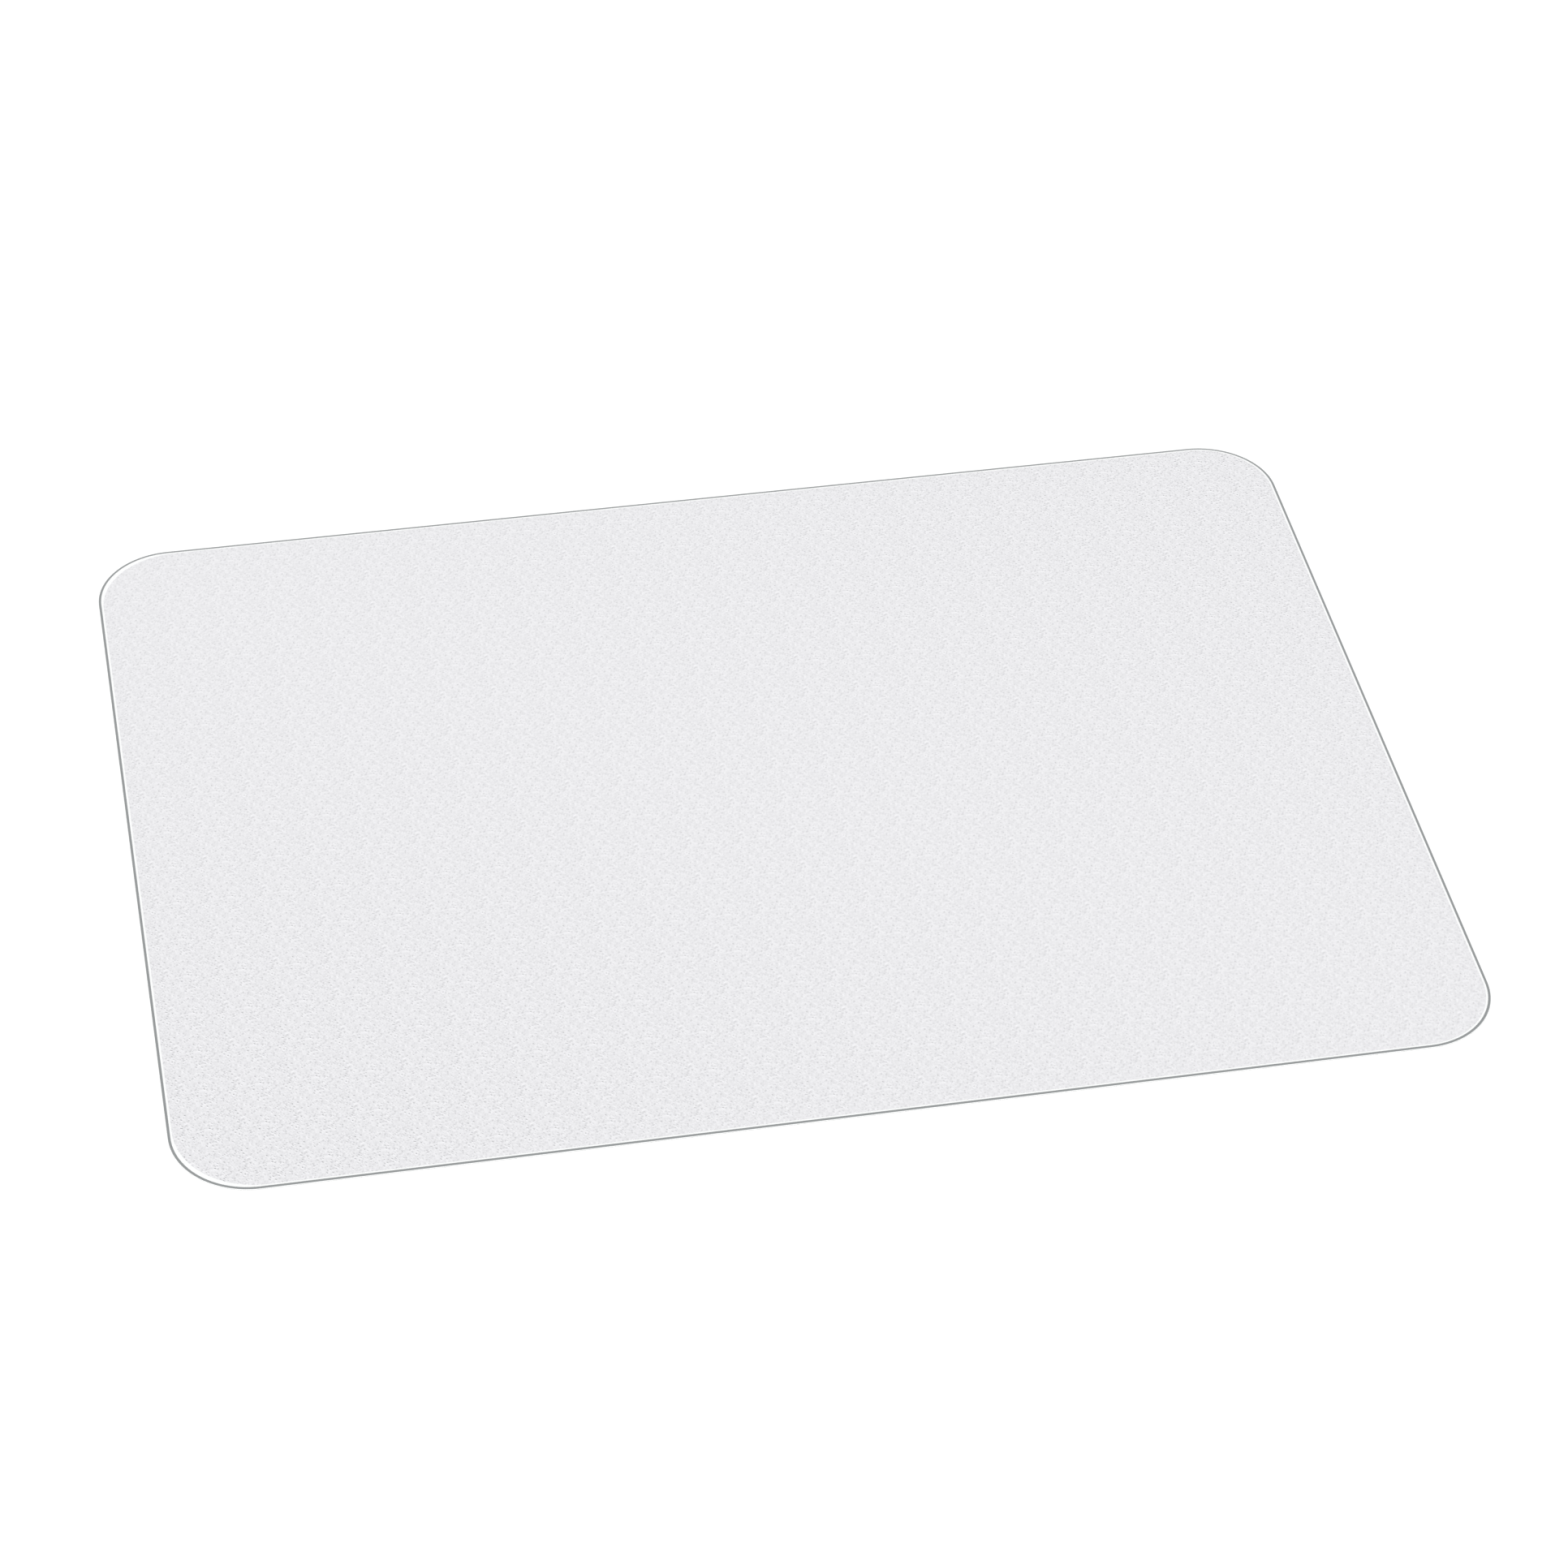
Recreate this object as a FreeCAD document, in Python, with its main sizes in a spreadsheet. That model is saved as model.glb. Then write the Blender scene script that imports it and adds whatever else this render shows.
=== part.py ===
import FreeCAD, Part
import os
import Sketcher

# A clear, stiff chair mat for hard floors: a flat laminate of three bonded layers.
#   grip_backing       soft non-slip film that lies on the floor
#   core_sheet         stiff clear sheet with rounded corners and a shallow bevelled, polished rim
#   textured_top_film  thin matt embossed film that the casters roll on
# Frame: origin on the floor under the middle of the mat, +X along the long side,
# +Y along the short side, +Z up. Millimetres.

DRIVING_DIMENSIONS = [
    # alias, value, meaning
    ("mat_length", 1219.2, "long side, 48 inches"),
    ("mat_depth", 914.4, "short side, 36 inches"),
    ("corner_radius", 75.0, "outer corner of the sheet"),
    ("backing_thickness", 0.4, "non-slip film"),
    ("core_thickness", 1.3, "stiff sheet"),
    ("film_thickness", 0.3, "embossed film"),
    ("bevel_width", 2.4, "width of the eased, polished rim, seen from above"),
    ("bevel_drop", 0.25, "height that the bevel loses at the lip"),
    ("bevel_shoulder_radius", 5.0, "soft break between bevel and flat"),
    ("lip_radius", 0.18, "rounding of the lip's upper and lower edge"),
    ("film_inset", 4.4, "edge of the mat to edge of the embossed film"),
    ("film_left_corner", 77.0, "film corner radius on the left, cut rounder than the sheet's"),
    ("backing_inset", 0.5, "edge of the mat to edge of the backing"),
    ("film_edge_radius", 0.12, "rounding of the film's upper edge"),
]


def make_sheet(doc):
    """The spreadsheet of driving dimensions: value in column A, meaning in column B."""
    sheet = doc.addObject("Spreadsheet::Sheet", "dims")
    for row, (alias, value, meaning) in enumerate(DRIVING_DIMENSIONS, start=1):
        sheet.set(f"A{row}", str(value))
        sheet.setAlias(f"A{row}", alias)
        sheet.set(f"B{row}", meaning)
    doc.recompute()
    return sheet


def origin_plane(body, role):
    return next(feature for feature in body.Origin.OriginFeatures if feature.Role == role)


def rounded_rectangle(body, name, inset, left_radius, right_radius):
    """A centred sketch of the mat's outline moved in by inset, with its own radius at each end."""
    sketch = body.newObject("Sketcher::SketchObject", name)
    sketch.AttachmentSupport = [(origin_plane(body, "XY_Plane"), "")]
    sketch.MapMode = "FlatFace"
    # Rough starting geometry, in order round the outline; the constraints give the real size.
    half_x, half_y, corner = 600.0, 450.0, 70.0
    in_x, in_y = half_x - corner, half_y - corner
    quarter = 1.5707963267948966
    corners = [(in_x, -in_y, 3), (in_x, in_y, 0), (-in_x, in_y, 1), (-in_x, -in_y, 2)]
    sides = [
        ((-in_x, -half_y), (in_x, -half_y)),
        ((half_x, -in_y), (half_x, in_y)),
        ((in_x, half_y), (-in_x, half_y)),
        ((-half_x, in_y), (-half_x, -in_y)),
    ]
    lines, arcs = [], []
    for (start, end), (centre_x, centre_y, turn) in zip(sides, corners):
        line = Part.LineSegment(FreeCAD.Vector(*start, 0), FreeCAD.Vector(*end, 0))
        circle = Part.Circle(FreeCAD.Vector(centre_x, centre_y, 0), FreeCAD.Vector(0, 0, 1), corner)
        lines.append(sketch.addGeometry(line, False))
        arcs.append(sketch.addGeometry(Part.ArcOfCircle(circle, turn * quarter, (turn + 1) * quarter)))
    front, right, back, left = lines
    for index in range(4):
        following = lines[(index + 1) % 4]
        sketch.addConstraint(Sketcher.Constraint("Tangent", lines[index], 2, arcs[index], 1))
        sketch.addConstraint(Sketcher.Constraint("Tangent", arcs[index], 2, following, 1))
    for line in (front, back):
        sketch.addConstraint(Sketcher.Constraint("Horizontal", line))
    for line in (right, left):
        sketch.addConstraint(Sketcher.Constraint("Vertical", line))

    def driven(kind, geometry, value, title, expression):
        number = sketch.addConstraint(Sketcher.Constraint(kind, *geometry, value))
        sketch.renameConstraint(number, title)
        sketch.setExpression(f"Constraints.{title}", expression)

    origin_point = (-1, 1)
    for line, title, side in (
        (front, "front", "mat_depth"),
        (right, "right", "mat_length"),
        (back, "back", "mat_depth"),
        (left, "left", "mat_length"),
    ):
        reach = half_y if side == "mat_depth" else half_x
        driven("Distance", (*origin_point, line), reach, title, f"dims.{side} / 2 - ({inset})")
    for index, expression in enumerate((right_radius, right_radius, left_radius, left_radius)):
        driven("Radius", (arcs[index],), corner, f"corner_{index}", expression)
    return sketch


def plate(doc, label, inset, left_radius, right_radius, thickness, height):
    """A body holding one flat layer, padded from a rounded rectangle and set at its height."""
    body = doc.addObject("PartDesign::Body", label)
    body.Label = label
    body.setExpression("Placement.Base.z", height)
    sketch = rounded_rectangle(body, label + "_outline", inset, left_radius, right_radius)
    doc.recompute()
    pad = body.newObject("PartDesign::Pad", label + "_pad")
    pad.Profile = sketch
    pad.setExpression("Length", thickness)
    doc.recompute()
    return body, pad


def edges_at(feature, height):
    """Names of the edges that run level at a height above the body's base."""
    tolerance = 0.001
    found = []
    for number, edge in enumerate(feature.Shape.Edges, start=1):
        box = edge.BoundBox
        if abs(box.ZMin - height) < tolerance and abs(box.ZMax - height) < tolerance:
            found.append(f"Edge{number}")
    return found


def top_face(feature):
    return max(feature.Shape.Faces, key=lambda face: face.CenterOfMass.z)


def fillet(doc, body, name, base, edge_names, radius):
    """Rounds the named edges of base, with the radius bound to a cell of the sheet."""
    feature = body.newObject("PartDesign::Fillet", name)
    feature.Base = (base, edge_names)
    feature.setExpression("Radius", f"dims.{radius}")
    doc.recompute()
    return feature


def make_backing(doc):
    body, _ = plate(
        doc,
        "grip_backing",
        inset="dims.backing_inset",
        left_radius="dims.corner_radius - dims.backing_inset",
        right_radius="dims.corner_radius - dims.backing_inset",
        thickness="dims.backing_thickness",
        height="0",
    )
    return body


def make_core(doc, sheet):
    body, pad = plate(
        doc,
        "core_sheet",
        inset="0",
        left_radius="dims.corner_radius",
        right_radius="dims.corner_radius",
        thickness="dims.core_thickness",
        height="dims.backing_thickness",
    )
    # The bevel's first size runs down the wall and its second across the top.
    bevel = body.newObject("PartDesign::Chamfer", "rim_bevel")
    bevel.Base = (pad, edges_at(pad, sheet.core_thickness))
    bevel.ChamferType = "Two distances"
    bevel.setExpression("Size", "dims.bevel_drop")
    bevel.setExpression("Size2", "dims.bevel_width")
    doc.recompute()
    flat_length = sheet.mat_length - 2 * sheet.bevel_width
    if abs(top_face(bevel).BoundBox.XLength - flat_length) > 0.01:
        raise RuntimeError("the bevel is the wrong way round")
    shoulder = fillet(
        doc, body, "bevel_shoulder", bevel, edges_at(bevel, sheet.core_thickness), "bevel_shoulder_radius"
    )
    lip_top = sheet.core_thickness - sheet.bevel_drop
    lip_edges = edges_at(shoulder, lip_top) + edges_at(shoulder, 0.0)
    fillet(doc, body, "lip_rounding", shoulder, lip_edges, "lip_radius")
    return body


def make_film(doc, sheet):
    body, pad = plate(
        doc,
        "textured_top_film",
        inset="dims.film_inset",
        left_radius="dims.film_left_corner",
        right_radius="dims.corner_radius - dims.film_inset",
        thickness="dims.film_thickness",
        height="dims.backing_thickness + dims.core_thickness",
    )
    fillet(doc, body, "film_edge_rounding", pad, edges_at(pad, sheet.film_thickness), "film_edge_radius")
    return body


def check(doc, bodies):
    """Stops if any object failed or any layer isn't one valid closed solid."""
    for item in doc.Objects:
        if {"Invalid", "Error"} & set(item.State):
            raise RuntimeError(f"{item.Name} failed: {item.State}")
    for body in bodies:
        shape = body.Shape
        if shape.isNull() or not shape.isValid() or len(shape.Solids) != 1:
            raise RuntimeError(f"{body.Label} isn't one valid solid")


def main():
    doc = FreeCAD.newDocument("chair_mat")
    sheet = make_sheet(doc)
    bodies = [make_backing(doc), make_core(doc, sheet), make_film(doc, sheet)]
    doc.recompute()
    check(doc, bodies)
    os.makedirs("parts", exist_ok=True)
    for body in bodies:
        body.Shape.exportStep(f"parts/{body.Label}.step")
        print(body.Label, "volume", round(body.Shape.Volume), "faces", len(body.Shape.Faces))


main()
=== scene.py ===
import math
import random
from itertools import repeat

import bpy
from mathutils import Matrix, Vector
from mathutils.geometry import delaunay_2d_cdt


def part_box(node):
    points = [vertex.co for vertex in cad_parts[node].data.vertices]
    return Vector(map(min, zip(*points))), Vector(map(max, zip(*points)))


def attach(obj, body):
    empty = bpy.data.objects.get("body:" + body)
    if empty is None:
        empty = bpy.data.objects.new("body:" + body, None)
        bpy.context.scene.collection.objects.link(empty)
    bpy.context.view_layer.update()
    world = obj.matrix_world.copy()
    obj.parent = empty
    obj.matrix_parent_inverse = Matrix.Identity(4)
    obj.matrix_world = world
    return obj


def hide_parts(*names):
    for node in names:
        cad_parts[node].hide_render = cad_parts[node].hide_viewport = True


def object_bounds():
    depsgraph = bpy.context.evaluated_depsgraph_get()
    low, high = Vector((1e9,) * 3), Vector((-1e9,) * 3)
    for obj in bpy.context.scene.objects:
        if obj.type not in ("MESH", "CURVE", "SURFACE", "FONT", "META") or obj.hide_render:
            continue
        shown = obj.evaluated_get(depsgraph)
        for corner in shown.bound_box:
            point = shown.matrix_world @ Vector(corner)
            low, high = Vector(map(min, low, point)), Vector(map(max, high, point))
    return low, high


# A clear plastic chair mat on a plain white floor: a stippled matt film on a stiff clear sheet with
# an eased, polished rim, over a soft grip film. Metres, in the frame's axes.

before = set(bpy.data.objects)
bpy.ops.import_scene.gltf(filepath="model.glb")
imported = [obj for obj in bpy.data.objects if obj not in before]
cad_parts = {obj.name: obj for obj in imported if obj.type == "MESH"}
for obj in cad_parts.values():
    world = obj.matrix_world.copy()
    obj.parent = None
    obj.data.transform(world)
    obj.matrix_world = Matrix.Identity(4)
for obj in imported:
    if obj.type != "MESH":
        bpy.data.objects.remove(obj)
cad_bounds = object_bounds()

MM = 0.001
BODY = "root"

# The rim's section: the stiff sheet is eased down to a rounded lip.
BEVEL_WIDTH = 2.5 * MM
BEVEL_DROP = 0.12 * MM
SHOULDER_RADIUS = 5.0 * MM
LIP_RADIUS = 0.18 * MM
FILM_EDGE_RADIUS = 0.12 * MM
BOND_GAP = 0.03 * MM  # see-through faces of bonded layers never lie in one plane

# How finely the outlines, rounded edges and flat faces are divided.
CORNER_STEPS = 24
SIDE_PITCH = 20 * MM
FACE_PITCH = 40 * MM
FILM_EDGE_STEPS = 3
RIM_STEPS = 4
FAR_IN = 1.0  # an inset far past any rounding, which gives the direction of a profile's flat side
SHARP_ANGLE = math.radians(60)

# How near two places have to be to count as one: in the frame's model, and in a face being divided.
MODEL_TOLERANCE = 0.002 * MM
FACE_TOLERANCE = 1e-7

# The embossing repeats over the film, as the roller that pressed it turned. Its deepest pits are real
# dents in the mesh.
REPEAT = 50.6 * MM
PIT_SEED = 5
PITS_PER_REPEAT = 18
PIT_SIDES = 8
PIT_RADII = (0.55 * MM, 0.95 * MM)
PIT_SHADE_RANGE = (0.35, 1.0)  # how dark the painted shade in a pit is, from the palest to the darkest
PIT_DEPTH = 0.16  # of its radius
PIT_CLEARANCE = 2.1 * MM  # the least between the middles of two
FILM_BORDER = 1.2 * MM  # the least from the middle of one to the film's edge

# The finer stipple has three kinds of mark. Spacing and half width are in millimetres, stretch says how
# much longer than wide a mark is, and angle is that of its length, in degrees from the long side.
LONG_MARKS = {"spacing": 3.7, "radii": (0.85, 1.55), "stretch": 1.8, "angle": 65}
ROUND_MARKS = {"spacing": 3.7, "radii": (0.85, 1.55), "stretch": 1.3, "angle": -50}
CORNER_MARKS = {"spacing": 2.1, "radii": (0.42, 0.75), "stretch": 2.6, "angle": -40}
PATTERN = 9  # which of the many random patterns the repeat holds
MARK_WANDER = 0.9  # how far the first two kinds drift out of place, in millimetres
MARK_RARITY = 1.2  # the higher, the fewer deep ones
LIP_REACH = 1.35  # from a mark's middle to the middle of its lip, in the mark's radii
LIP_WIDTH = 0.5  # to each side of the middle of the lip, in the mark's radii
FLANK_OFFSET = (0.5, 1.2, 0)  # from the painted highlight on a corner mark's flank to its hollow, in millimetres
DENT_RELIEF = 0.05 * MM  # how far the bump sinks a mark of full depth
RAISED_SHARE = 0.3  # how far it raises the lips and the grain, as a share of that

# Painted shade: how much of the dark colour each hollow carries. Painted highlight: how much of the
# bright one each raised part.
MARK_SHADE = 0.23
PIT_SHADE = 0.50
SCRATCH_SHADE = 0.34
LIP_SHINE = 0.16
FLANK_SHINE = 0.42
CORNER_SHADE_GAIN = 0.20  # how much deeper the painted shade of every hollow gets towards the front left and back right corners

# Colours. Two of one kind are mottled together, so that no surface is one flat colour.
FILM_COOL = (0.552, 0.551, 0.567, 1.0)
FILM_WARM = (0.559, 0.557, 0.572, 1.0)
# FILM_BRIGHT is painted highlight on the marks' lips and flanks, and the bright end of the grain.
FILM_BRIGHT = (0.788, 0.786, 0.803, 1.0)
# FILM_DARK is painted shade, for the hollows of the pits, marks and scratches.
FILM_DARK = (0.16, 0.16, 0.17, 1.0)
# CLEAR_DEEP and CLEAR_PALE are near white: painted light, for the light through the clear sheet and out
# at its cut wall.
CLEAR_DEEP = (0.925, 0.935, 0.935, 1.0)
CLEAR_PALE = (0.95, 0.955, 0.955, 1.0)
# RIM_DEEP and RIM_PALE are dark grey: painted shade, for the little light the clear rim gathers.
RIM_DEEP = (0.213, 0.225, 0.228, 1.0)
RIM_PALE = (0.233, 0.244, 0.247, 1.0)
GRIP_DEEP = (0.80, 0.82, 0.82, 1.0)
GRIP_PALE = (0.88, 0.89, 0.89, 1.0)
FLOOR_DEEP = (0.90, 0.90, 0.90, 1.0)
FLOOR_PALE = (0.91, 0.91, 0.91, 1.0)
CLEAR_ALPHA = 0.85  # of the stiff sheet and of the grip film

FLOOR_REACH = 40.0  # to each side, past the edge of every view
FLOOR_DROP = 0.02 * MM  # keeps it clear of the mat's underside

# The light is strong enough for the floor to come out white. Its angles are in degrees.
AMBIENT = 1.0
KEY_LIGHT = 0.9
KEY_SOFTNESS = 50
KEY_TILT = 35
KEY_TURN = -30

# The camera: degrees, metres, and millimetres of lens and sensor.
CAMERA_AZIMUTH = -11.396
CAMERA_ELEVATION = 40.99
CAMERA_DISTANCE = 4.722
CAMERA_ROLL = 1.25
CAMERA_AIM = (0.0187, -0.0003, 0.0015)
CAMERA_LENS = 112.31
CAMERA_SENSOR = 36.0


# ------------------------------------------------------------------ outlines, read from the frame


class Outline:
    """A rounded rectangle in plan round the origin, with its own corner radius at each end."""

    def __init__(self, node):
        low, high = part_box(node)
        self.half_x, self.half_y = (high.x - low.x) / 2, (high.y - low.y) / 2
        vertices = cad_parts[node].data.vertices
        on_back = [vertex.co.x for vertex in vertices if high.y - vertex.co.y < MODEL_TOLERANCE]
        self.left = self.half_x + min(on_back)
        self.right = self.half_x - max(on_back)

    def ring(self, inset):
        """Points of the outline moved in by inset, anticlockwise from the left end of the front."""
        left, right = self.left, self.right
        corners = (
            (self.half_x - right, right - self.half_y, right),
            (self.half_x - right, self.half_y - right, right),
            (left - self.half_x, self.half_y - left, left),
            (left - self.half_x, left - self.half_y, left),
        )
        arcs = []
        for quarter, (x, y, radius) in enumerate(corners):
            shares = [step / CORNER_STEPS for step in range(CORNER_STEPS + 1)]
            turns = [math.pi / 2 * (quarter - 1 + share) for share in shares]
            reach = radius - inset
            arc = [(x + reach * math.cos(turn), y + reach * math.sin(turn)) for turn in turns]
            arcs.append([Vector(place) for place in arc])
        points = []
        for index, arc in enumerate(arcs):
            start, end = arcs[index - 1][-1], arc[0]
            steps = round((end - start).length / SIDE_PITCH)
            points += [start.lerp(end, step / steps) for step in range(steps)]
            points += arc[:-1]
        return points

    def holds(self, x, y, margin):
        """Whether a point is inside the outline by at least a margin."""
        radius = self.left if x < 0 else self.right
        past_x = abs(x) - (self.half_x - radius)
        past_y = abs(y) - (self.half_y - radius)
        outside = math.hypot(max(past_x, 0), max(past_y, 0)) + min(max(past_x, past_y), 0) - radius
        return outside <= -margin

    def lattice(self, pitch, margin):
        """Evenly spread points inside the outline."""
        columns = range(-int(self.half_x / pitch), int(self.half_x / pitch) + 1)
        rows = range(-int(self.half_y / pitch), int(self.half_y / pitch) + 1)
        places = [(i * pitch, j * pitch) for j in rows for i in columns]
        return [place for place in places if self.holds(*place, margin)]


# ------------------------------------------------------------------ mesh building


class Plate:
    """A flat piece, built from rings of points joined by bands and closed by two flat faces."""

    def __init__(self, node):
        self.outline = Outline(node)
        self.vertices, self.faces, self.slots, self.smooth = [], [], [], []
        self.pit_shades = {}

    def point(self, x, y, height):
        """Adds a vertex and gives its number."""
        self.vertices.append((x, y, height))
        return len(self.vertices) - 1

    def face(self, corners, slot, smooth):
        self.faces.append(corners)
        self.slots.append(slot)
        self.smooth.append(smooth)

    def ring(self, inset, height):
        return [self.point(x, y, height) for x, y in self.outline.ring(inset)]

    def bands(self, profile, slots):
        """Rings along a profile of (inset, height) from the underside up, joined by quads."""
        rings = [self.ring(inset, height) for inset, height in profile]
        for below, above, slot in zip(rings, rings[1:], slots):
            for i in range(len(below)):
                following = (i + 1) % len(below)
                self.face((below[i], below[following], above[following], above[i]), slot, True)
        return rings[0], rings[-1]

    def fill(self, ring, slot, upwards, pits=()):
        """Closes a ring with flat triangles, and sinks a small fan of them at each pit."""
        height = self.vertices[ring[0]][2]
        points = list(ring)
        edges = [(i, (i + 1) % len(ring)) for i in range(len(ring))]
        for x, y, radius, strength in pits:
            bottom = self.point(x, y, height - radius * PIT_DEPTH)
            self.pit_shades[bottom] = strength
            first = len(points) + 1
            points.append(bottom)
            for side in range(PIT_SIDES):
                angle = 2 * math.pi * side / PIT_SIDES
                rim_x, rim_y = x + radius * math.cos(angle), y + radius * math.sin(angle)
                points.append(self.point(rim_x, rim_y, height))
                edges.append((first + side, first + (side + 1) % PIT_SIDES))
        if not pits:
            places = self.outline.lattice(FACE_PITCH, FACE_PITCH / 2)
            points += [self.point(x, y, height) for x, y in places]
        plan = [Vector(self.vertices[i][:2]) for i in points]
        only_inside = 1
        for triangle in delaunay_2d_cdt(plan, edges, [], only_inside, FACE_TOLERANCE)[2]:
            corners = [points[i] for i in triangle]
            in_pit = any(i in self.pit_shades for i in corners)
            self.face(corners if upwards else corners[::-1], slot, in_pit)

    def build(self, name, materials):
        """Puts the plate in the scene as one object."""
        mesh = bpy.data.meshes.new(name)
        mesh.from_pydata(self.vertices, [], self.faces)
        mesh.polygons.foreach_set("material_index", self.slots)
        mesh.polygons.foreach_set("use_smooth", self.smooth)
        for material in materials:
            mesh.materials.append(material)
        mesh.update()
        mesh.set_sharp_from_angle(angle=SHARP_ANGLE)
        piece = bpy.data.objects.new(name, mesh)
        bpy.context.scene.collection.objects.link(piece)
        return piece


def round_off(before, corner, after, radius, steps):
    """Points of the arc that rounds a corner of a profile, from the side of before to that of after."""
    before, corner, after = Vector(before), Vector(corner), Vector(after)
    to_before = (before - corner).normalized()
    to_after = (after - corner).normalized()
    half_angle = to_before.angle(to_after) / 2
    reach = radius / math.tan(half_angle)
    centre = corner + (to_before + to_after).normalized() * radius / math.sin(half_angle)
    start = (corner + to_before * reach - centre).normalized()
    end = (corner + to_after * reach - centre).normalized()
    return [tuple(centre + start.slerp(end, step / steps) * radius) for step in range(steps + 1)]


# ------------------------------------------------------------------ materials


class Nodes:
    """A material's node tree, filled with short calls."""

    def __init__(self, name):
        self.material = bpy.data.materials.new(name)
        self.material.use_nodes = True
        self.tree = self.material.node_tree
        self.tree.nodes.clear()

    def add(self, kind, inputs=None, output=0, **settings):
        """Adds a node, sets or links its inputs by name or number, and gives one of its outputs."""
        node = self.tree.nodes.new("ShaderNode" + kind)
        for key, value in settings.items():
            setattr(node, key, value)
        for key, value in (inputs or {}).items():
            if isinstance(value, bpy.types.NodeSocket):
                self.tree.links.new(value, node.inputs[key])
            else:
                node.inputs[key].default_value = value
        return None if output is None else node.outputs[output]

    def maths(self, operation, *values, clamp=False):
        return self.add("Math", dict(enumerate(values)), operation=operation, use_clamp=clamp)

    def vectors(self, operation, *values, output=0):
        return self.add("VectorMath", dict(enumerate(values)), output, operation=operation)

    def spread(self, value, low, high, top=1.0, **settings):
        """A value from 0 to top, spread over the range from low to high."""
        ends = {"Value": value, "From Max": top, "To Min": low, "To Max": high}
        return self.add("MapRange", ends, **settings)

    def mix_colour(self, share, low, high):
        ends = {"Factor": share, "A": low, "B": high}
        return self.add("Mix", ends, output="Result", data_type="RGBA")

    def noise(self, place, scale, detail, output=0, **inputs):
        sockets = {"Vector": place, "Scale": scale, "Detail": detail, **inputs}
        return self.add("TexNoise", sockets, output)

    def position(self):
        """The place on the mat in millimetres."""
        place = self.add("TexCoord", output="Object")
        return self.add("VectorMath", {0: place, "Scale": 1 / MM}, operation="SCALE")

    def bump(self, height, distance, strength):
        return self.add("Bump", {"Height": height, "Distance": distance, "Strength": strength})

    def plastic(self, colour, rough, ior, **inputs):
        """Ends the material as a plastic."""
        sockets = {"Base Color": colour, "Roughness": rough, "IOR": ior, **inputs}
        return self.finish(self.add("BsdfPrincipled", sockets))

    def finish(self, shader):
        """Ends the material with a shader."""
        self.add("OutputMaterial", {"Surface": shader}, output=None)
        return self.material


def marks(n, place, spacing, radii, stretch, angle):
    """Small scattered marks: how far it is to the middle of the nearest, 1 at its rim, and its depth."""
    turn = {"Vector": place, "Rotation": (0, 0, math.radians(angle)), "Scale": (stretch, 1, 1)}
    along = n.add("Mapping", turn, vector_type="TEXTURE")
    cells = {"Vector": along, "Scale": 1 / spacing}
    nearest = n.add("TexVoronoi", cells, voronoi_dimensions="2D").node.outputs
    chance = n.add("SeparateColor", {"Color": nearest["Color"]}).node.outputs
    small, large = (radius / spacing for radius in radii)
    radius = n.spread(chance["Red"], small, large)
    reach = n.maths("DIVIDE", nearest["Distance"], radius)
    depth = n.maths("POWER", chance["Green"], MARK_RARITY)
    return reach, depth


def dents(n, reach, depth):
    """The hollow of each mark."""
    hollow = n.spread(reach, 1.0, 0.0, interpolation_type="SMOOTHSTEP")
    return n.maths("MULTIPLY", hollow, depth)


def lips(n, reach, depth):
    """The raised lip that stands round each mark."""
    off_lip = n.maths("ABSOLUTE", n.maths("SUBTRACT", reach, LIP_REACH))
    lip = n.spread(off_lip, 1.0, 0.0, top=LIP_WIDTH, interpolation_type="SMOOTHSTEP")
    return n.maths("MULTIPLY", lip, depth)


def corner_share(n, place):
    """Nearness to the front left or back right corner: 0 on the other diagonal, 2 at the corner."""
    far_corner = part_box("textured_top_film")[1] / MM
    across = (1 / far_corner.x, 1 / far_corner.y, 0)
    return n.maths("ABSOLUTE", n.vectors("DOT_PRODUCT", place, across, output="Value"))


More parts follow.
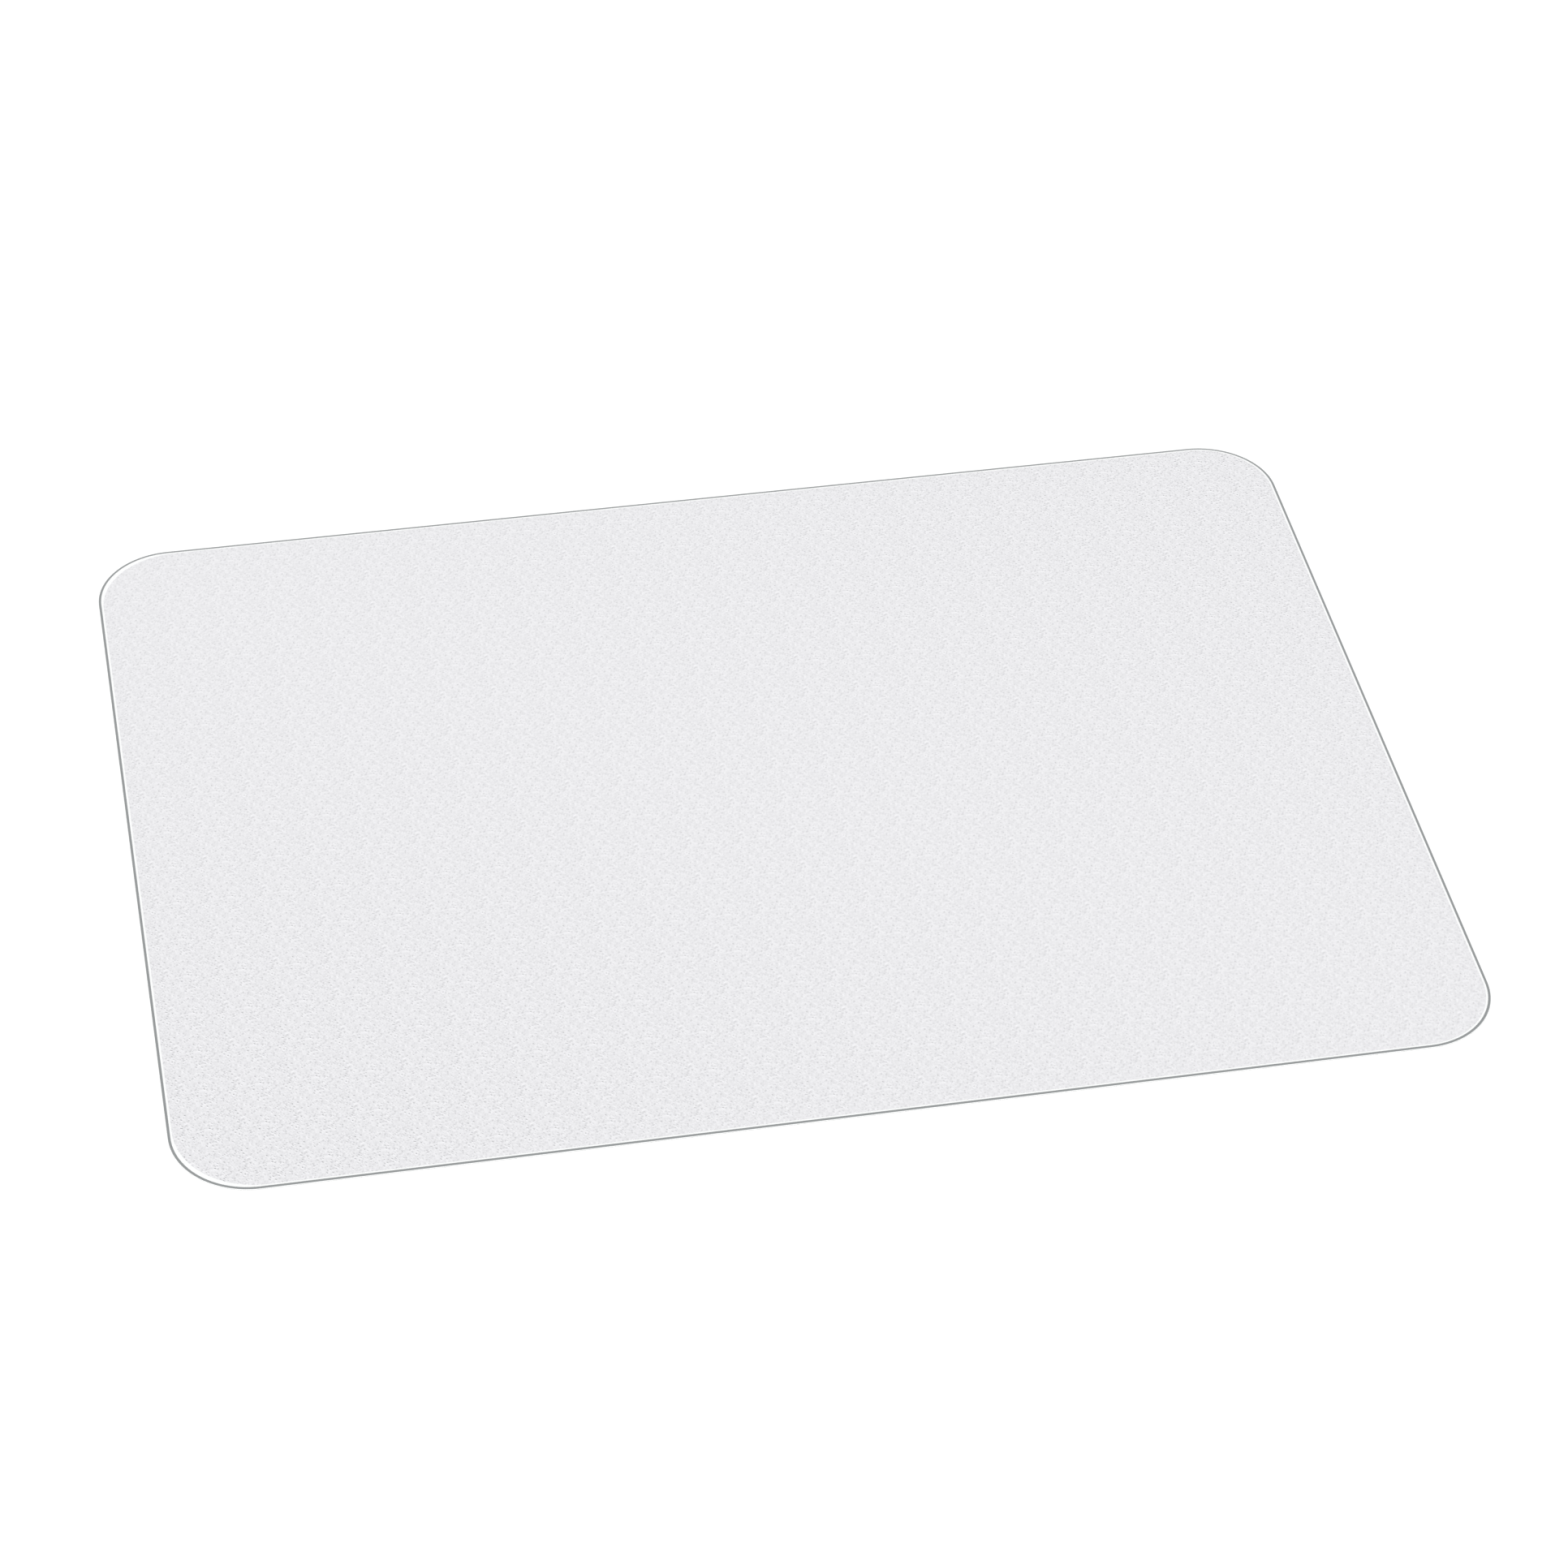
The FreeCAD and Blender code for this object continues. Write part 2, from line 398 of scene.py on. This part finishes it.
def film_material():
    """Matt embossed plastic: pale, faintly cool, with a stipple of small dents, painted shade in their
    hollows and painted highlights on their lips and on the scratches' flanks.
    """
    n = Nodes("stippled_film")
    place = n.position()

    # The same marks in every repeat, a little out of their rows.
    low, high = (edge * REPEAT / MM for edge in (PATTERN, PATTERN + 1))
    tile = n.vectors("WRAP", place, (high,) * 3, (low,) * 3)
    drift = n.noise(tile, scale=0.8, detail=1.0, output="Color")
    uneven = n.vectors("MULTIPLY_ADD", drift, (MARK_WANDER, MARK_WANDER, 0), tile)
    long_marks = marks(n, uneven, **LONG_MARKS)
    round_marks = marks(n, uneven, **ROUND_MARKS)
    dent = n.maths("ADD", dents(n, *long_marks), dents(n, *round_marks))
    lip = n.maths("ADD", lips(n, *long_marks), lips(n, *round_marks))

    # Fine slanted scratches towards two corners, each with a painted highlight on one flank.
    aside = corner_share(n, place)
    beside = n.vectors("ADD", tile, FLANK_OFFSET)
    scratch = n.maths("MULTIPLY", dents(n, *marks(n, tile, **CORNER_MARKS)), aside)
    flank = n.maths("MULTIPLY", dents(n, *marks(n, beside, **CORNER_MARKS)), aside)

    # Painted highlight on the lips and the bright flanks, added to the grain's own tone, over a hazy
    # base.
    grain = n.noise(tile, scale=0.36, detail=2.0)
    lip_highlight_and_grain = n.maths("MULTIPLY_ADD", lip, LIP_SHINE, grain)
    highlight_and_grain = n.maths("MULTIPLY_ADD", flank, FLANK_SHINE, lip_highlight_and_grain, clamp=True)
    haze = n.mix_colour(n.noise(place, scale=0.004, detail=2.0), FILM_COOL, FILM_WARM)
    lit = n.mix_colour(highlight_and_grain, haze, FILM_BRIGHT)

    # Painted shade in what lies deep: the pits, the marks' hollows and the scratches.
    pit = n.add("Attribute", output="Fac", attribute_name="pit")
    marked = n.maths("MULTIPLY", dent, MARK_SHADE)
    pitted = n.maths("MULTIPLY_ADD", pit, PIT_SHADE, marked)
    scratched = n.maths("MULTIPLY_ADD", scratch, SCRATCH_SHADE, pitted)
    shade_gain = n.maths("MULTIPLY_ADD", aside, CORNER_SHADE_GAIN, 1.0)
    dark = n.maths("MULTIPLY", scratched, shade_gain, clamp=True)
    colour = n.mix_colour(dark, lit, FILM_DARK)

    raised = n.maths("MULTIPLY", n.maths("ADD", grain, lip), RAISED_SHARE)
    relief = n.maths("SUBTRACT", raised, dent)
    normal = n.bump(relief, distance=DENT_RELIEF, strength=0.6)
    rough = n.spread(dark, 0.46, 0.62)
    return n.plastic(colour, rough, ior=1.5, Normal=normal)


def clear_material():
    """Clear sheet over a pale ground, coloured milky pale: painted light that stands in for the light it
    gathers.
    """
    n = Nodes("clear_core")
    haze = n.noise(n.position(), scale=0.02, detail=2.0)
    colour = n.mix_colour(haze, CLEAR_DEEP, CLEAR_PALE)
    rough = n.spread(haze, 0.06, 0.12)
    return n.plastic(colour, rough, ior=1.58, Alpha=CLEAR_ALPHA)


def wall_material():
    """The sheet's cut wall under the rim, coloured pale: painted light that stands in for the light that
    leaves the sheet there.
    """
    n = Nodes("lit_wall")
    saw = n.noise(n.position(), scale=1.5, detail=3.0)
    colour = n.mix_colour(saw, CLEAR_DEEP, CLEAR_PALE)
    normal = n.bump(saw, distance=0.01 * MM, strength=0.5)
    rough = n.spread(saw, 0.2, 0.35)
    return n.plastic(colour, rough, ior=1.5, Normal=normal)


def rim_material():
    """The polished rim of a clear sheet, coloured smoky grey: painted shade that stands in for the
    little light it gathers.
    """
    n = Nodes("polished_rim")
    place = n.position()
    streak = n.noise(place, scale=0.05, detail=4.0, Roughness=0.7)
    polish = n.noise(place, scale=2.5, detail=2.0)
    colour = n.mix_colour(streak, RIM_DEEP, RIM_PALE)
    normal = n.bump(polish, distance=0.01 * MM, strength=0.4)
    rough = n.spread(polish, 0.16, 0.30)
    return n.plastic(colour, rough, ior=1.5, Normal=normal)


def grip_material():
    """Soft non-slip film: hazy, satin, with a faint matt tooth."""
    n = Nodes("grip_film")
    place = n.position()
    tooth = n.add("TexVoronoi", {"Vector": place, "Scale": 0.7})
    cloud = n.noise(place, scale=0.01, detail=2.0)
    colour = n.mix_colour(cloud, GRIP_DEEP, GRIP_PALE)
    normal = n.bump(tooth, distance=0.03 * MM, strength=0.5)
    rough = n.spread(tooth, 0.42, 0.60)
    return n.plastic(colour, rough, ior=1.45, Normal=normal, Alpha=CLEAR_ALPHA)


def floor_material():
    """Plain pale studio floor."""
    n = Nodes("pale_floor")
    mottle = n.noise(n.position(), scale=0.002, detail=2.0)
    colour = n.mix_colour(mottle, FLOOR_DEEP, FLOOR_PALE)
    return n.finish(n.add("BsdfDiffuse", {"Color": colour}))


# ------------------------------------------------------------------ the pieces


def least_gap(x, y):
    """The least distance between two places x and y apart, each of which comes back in every repeat."""
    return math.hypot(x - REPEAT * round(x / REPEAT), y - REPEAT * round(y / REPEAT))


def pits_of_repeat(chance):
    """The deep pits of one repeat of the embossing: (x, y, radius, strength of painted shade) of each,
    none touching.
    """
    pits = []
    while len(pits) < PITS_PER_REPEAT:
        x, y = chance.uniform(0, REPEAT), chance.uniform(0, REPEAT)
        gaps = [least_gap(x - pit[0], y - pit[1]) for pit in pits]
        if min(gaps, default=REPEAT) > PIT_CLEARANCE:
            pits.append((x, y, chance.uniform(*PIT_RADII), chance.uniform(*PIT_SHADE_RANGE)))
    return pits


def pits_over(outline):
    """The deep pits of the whole film, the same in every repeat."""
    pattern = pits_of_repeat(random.Random(PIT_SEED))
    columns = range(math.floor(-outline.half_x / REPEAT), math.ceil(outline.half_x / REPEAT))
    rows = range(math.floor(-outline.half_y / REPEAT), math.ceil(outline.half_y / REPEAT))
    pits = []
    for row in rows:
        for column in columns:
            for x, y, radius, strength in pattern:
                place = (x + column * REPEAT, y + row * REPEAT)
                if outline.holds(*place, FILM_BORDER):
                    pits.append((*place, radius, strength))
    return pits


def make_film():
    """The embossed film: a thin plate with a rounded upper edge and real dents in its face."""
    low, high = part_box("textured_top_film")
    plate = Plate("textured_top_film")
    profile = [(0, low.z + BOND_GAP)]
    profile += round_off((0, low.z), (0, high.z), (FAR_IN, high.z), FILM_EDGE_RADIUS, FILM_EDGE_STEPS)
    embossed, smooth = 0, 1
    foot, edge = plate.bands(profile, repeat(embossed))
    plate.fill(foot, slot=smooth, upwards=False)
    plate.fill(edge, slot=embossed, upwards=True, pits=pits_over(plate.outline))
    film = plate.build("embossed_film", [film_material(), clear_material()])
    # Each pit's bottom carries the strength of its painted shade, which the film's colour reads.
    pit = film.data.attributes.new("pit", "FLOAT", "POINT")
    for index, strength in plate.pit_shades.items():
        pit.data[index].value = strength
    return film


def make_core():
    """The stiff sheet: flat clear faces and an eased, polished rim with a rounded lip."""
    low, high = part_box("core_sheet")
    plate = Plate("core_sheet")
    lip = (0, high.z - BEVEL_DROP)
    shoulder = (BEVEL_WIDTH, high.z)
    under_edge = round_off((FAR_IN, low.z), (0, low.z), lip, LIP_RADIUS, RIM_STEPS)
    lip_edge = round_off((0, low.z), lip, shoulder, LIP_RADIUS, RIM_STEPS)
    shoulder_bend = round_off(lip, shoulder, (FAR_IN, high.z), SHOULDER_RADIUS, RIM_STEPS)
    clear, rim, wall = 0, 1, 2
    slots = [wall] * len(under_edge) + [rim] * len(lip_edge) + [clear] * (len(shoulder_bend) - 1)
    foot, top = plate.bands(under_edge + lip_edge + shoulder_bend, slots)
    plate.fill(foot, slot=clear, upwards=False)
    plate.fill(top, slot=clear, upwards=True)
    return plate.build("clear_core", [clear_material(), rim_material(), wall_material()])


def make_backing():
    """The grip film on the underside."""
    low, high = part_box("grip_backing")
    plate = Plate("grip_backing")
    grip = 0
    profile = round_off((FAR_IN, low.z), (0, low.z), (0, high.z), LIP_RADIUS, FILM_EDGE_STEPS)
    profile.append((0, high.z - BOND_GAP))
    foot, top = plate.bands(profile, repeat(grip))
    plate.fill(foot, slot=grip, upwards=False)
    plate.fill(top, slot=grip, upwards=True)
    return plate.build("grip_film", [grip_material()])


# ------------------------------------------------------------------ floor, light and camera


def make_floor():
    """A plain pale floor just under the mat."""
    level = cad_bounds[0].z - FLOOR_DROP
    signs = ((-1, -1), (1, -1), (1, 1), (-1, 1))
    corners = [(x * FLOOR_REACH, y * FLOOR_REACH, level) for x, y in signs]
    mesh = bpy.data.meshes.new("floor")
    mesh.from_pydata(corners, [], [(0, 1, 2, 3)])
    mesh.materials.append(floor_material())
    floor = bpy.data.objects.new("floor", mesh)
    bpy.context.scene.collection.objects.link(floor)


def make_light():
    """Even white studio light from all round, with a broad soft key from the front left."""
    world = bpy.data.worlds.new("studio")
    world.use_nodes = True
    background = world.node_tree.nodes["Background"]
    background.inputs["Color"].default_value = (1.0, 1.0, 1.0, 1.0)
    background.inputs["Strength"].default_value = AMBIENT
    bpy.context.scene.world = world
    lamp = bpy.data.lights.new("key", "SUN")
    lamp.energy = KEY_LIGHT
    lamp.angle = math.radians(KEY_SOFTNESS)
    key = bpy.data.objects.new("key", lamp)
    key.rotation_euler = (math.radians(KEY_TILT), 0, math.radians(KEY_TURN))
    bpy.context.scene.collection.objects.link(key)


def make_camera():
    """A long lens from above the front left, as the mat is usually shown."""
    azimuth, elevation = math.radians(CAMERA_AZIMUTH), math.radians(CAMERA_ELEVATION)
    flat = math.cos(elevation)
    back = Vector((math.sin(azimuth) * flat, -math.cos(azimuth) * flat, math.sin(elevation)))
    data = bpy.data.cameras.new("camera")
    data.sensor_width = CAMERA_SENSOR
    data.lens = CAMERA_LENS
    camera = bpy.data.objects.new("camera", data)
    camera.location = Vector(CAMERA_AIM) + back * CAMERA_DISTANCE
    facing = (-back).to_track_quat("-Z", "Y").to_matrix().to_4x4()
    roll = Matrix.Rotation(math.radians(CAMERA_ROLL), 4, "Z")
    camera.rotation_euler = (facing @ roll).to_euler()
    bpy.context.scene.collection.objects.link(camera)
    bpy.context.scene.camera = camera


def main():
    pieces = (
        (make_film(), "textured_top_film", "stippled_film"),
        (make_core(), "core_sheet", "clear_core"),
        (make_backing(), "grip_backing", "grip_film"),
    )
    for piece, node, slot in pieces:
        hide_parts(node)
        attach(piece, BODY)
    make_floor()
    make_light()
    make_camera()
    bpy.context.scene.view_settings.view_transform = "Standard"


main()
